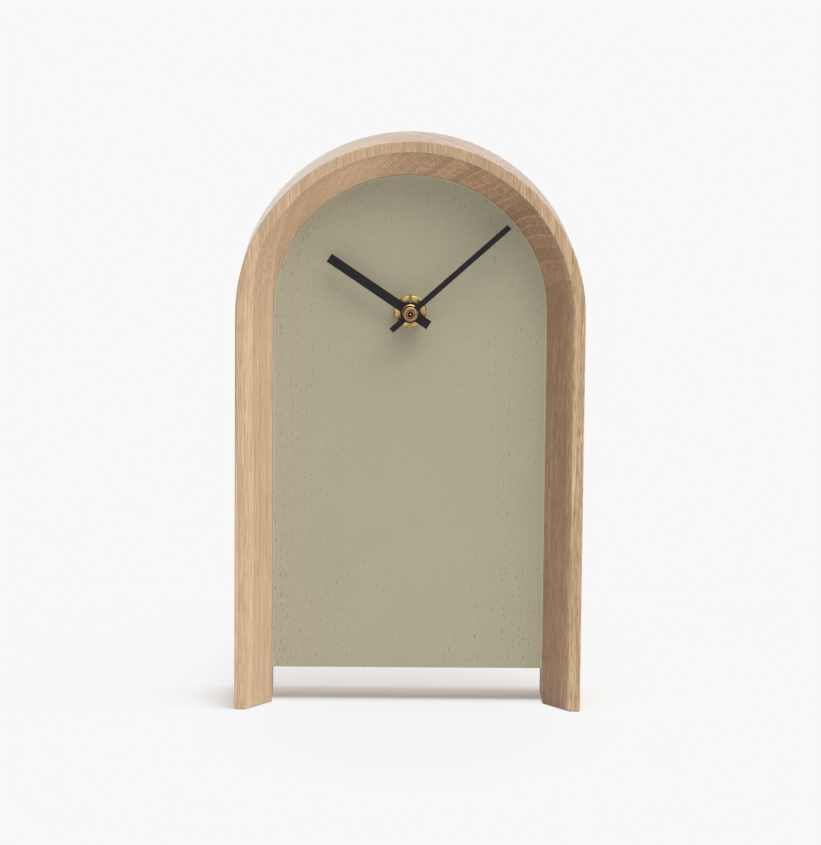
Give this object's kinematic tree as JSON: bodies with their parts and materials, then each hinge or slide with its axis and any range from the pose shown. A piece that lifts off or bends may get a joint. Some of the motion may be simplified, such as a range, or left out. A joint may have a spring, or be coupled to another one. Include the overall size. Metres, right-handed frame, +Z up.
{
  "type": "arched shelf clock",
  "caption": "Free-standing arched oak shelf clock with a bevelled frame on straight legs, a plain painted board, baton hands and a battery quartz movement behind.",
  "frame": {"origin": "centre of the footprint, on the floor under the feet", "axes": "+Z up, the dial faces -Y, +X to the viewer's right"},
  "size_m": [0.16, 0.046, 0.2645],
  "materials": {
    "oak": "clear matt oil",
    "sage_paint": "matt sage paint",
    "brass": "turned",
    "black_hands": "matt black lacquer",
    "steel": "ground",
    "black_case": "fine moulded texture",
    "white_plastic": "moulded",
    "rubber": "matt",
    "copper_wire": "enamelled",
    "soft_iron": "stamped",
    "magnet": "sintered",
    "circuit_laminate": "lacquered",
    "chip_resin": "moulded",
    "crystal_can": "drawn",
    "contact_strip": "nickel plated",
    "cell_jacket": "plain sleeve"
  },
  "bodies": {
    "clock_case": {"oak_frame": "oak", "painted_board": "sage_paint", "front_case": "black_case", "rear_cover": "black_case", "threaded_bush": "brass", "rubber_washer": "rubber", "ring_nut": "brass", "train_plate": "white_plastic", "stator_core": "soft_iron", "coil_bobbin": "white_plastic", "coil_winding": "copper_wire", "stator_screws": "steel", "circuit_board": "circuit_laminate", "quartz_crystal": "crystal_can", "driver_chip": "chip_resin", "contact_positive": "contact_strip", "contact_negative": "contact_strip"},
    "minute_work": {"minute_hand": "black_hands", "minute_nut": "brass", "minute_arbor": "brass", "clutch_spring": "contact_strip", "clutch_collar": "steel"},
    "hour_work": {"hour_hand": "black_hands", "hour_collet": "brass", "hour_wheel": "white_plastic"},
    "setting_work": {"motion_wheel": "white_plastic", "setting_knob": "black_case"},
    "centre_work": {"centre_wheel": "white_plastic"},
    "third_work": {"third_arbor": "steel", "third_wheel": "white_plastic"},
    "seconds_work": {"seconds_arbor": "steel", "seconds_wheel": "white_plastic"},
    "intermediate_work": {"intermediate_wheel": "white_plastic"},
    "rotor_work": {"rotor_pinion": "white_plastic", "rotor_magnet": "magnet"},
    "battery": {"battery_cell": "cell_jacket"}
  },
  "joints": [
    {"name": "minute_spin", "type": "hinge", "parent": "clock_case", "child": "minute_work", "pos_m": [0, 0, 0.1845], "axis": [0, 1, 0], "continuous": true},
    {"name": "hour_spin", "type": "hinge", "parent": "clock_case", "child": "hour_work", "pos_m": [0, 0, 0.1845], "axis": [0, 1, 0], "continuous": true},
    {"name": "setting_spin", "type": "hinge", "parent": "clock_case", "child": "setting_work", "pos_m": [0, 0, 0.197], "axis": [0, 1, 0], "continuous": true},
    {"name": "seconds_spin", "type": "hinge", "parent": "clock_case", "child": "seconds_work", "pos_m": [0, 0, 0.1845], "axis": [0, 1, 0], "continuous": true},
    {"name": "centre_spin", "type": "hinge", "parent": "clock_case", "child": "centre_work", "pos_m": [0, 0, 0.1845], "axis": [0, 1, 0], "continuous": true},
    {"name": "third_spin", "type": "hinge", "parent": "clock_case", "child": "third_work", "pos_m": [0.0117, 0, 0.1845], "axis": [0, 1, 0], "continuous": true},
    {"name": "intermediate_spin", "type": "hinge", "parent": "clock_case", "child": "intermediate_work", "pos_m": [-0.0108, 0, 0.1845], "axis": [0, 1, 0], "continuous": true},
    {"name": "rotor_spin", "type": "hinge", "parent": "clock_case", "child": "rotor_work", "pos_m": [-0.01232, 0, 0.19312], "axis": [0, 1, 0], "continuous": true},
    {"name": "battery_slide", "type": "slide", "parent": "clock_case", "child": "battery", "axis": [0, 1, 0], "range_m": [0, 0.03]}
  ],
  "couplings": [
    {"joint": "hour_spin", "follows": "minute_spin", "ratio": 0.083333},
    {"joint": "setting_spin", "follows": "minute_spin", "ratio": -0.33333},
    {"joint": "centre_spin", "follows": "seconds_spin", "ratio": 0.016667},
    {"joint": "third_spin", "follows": "seconds_spin", "ratio": -0.13333},
    {"joint": "intermediate_spin", "follows": "seconds_spin", "ratio": -5},
    {"joint": "rotor_spin", "follows": "seconds_spin", "ratio": 30}
  ]
}
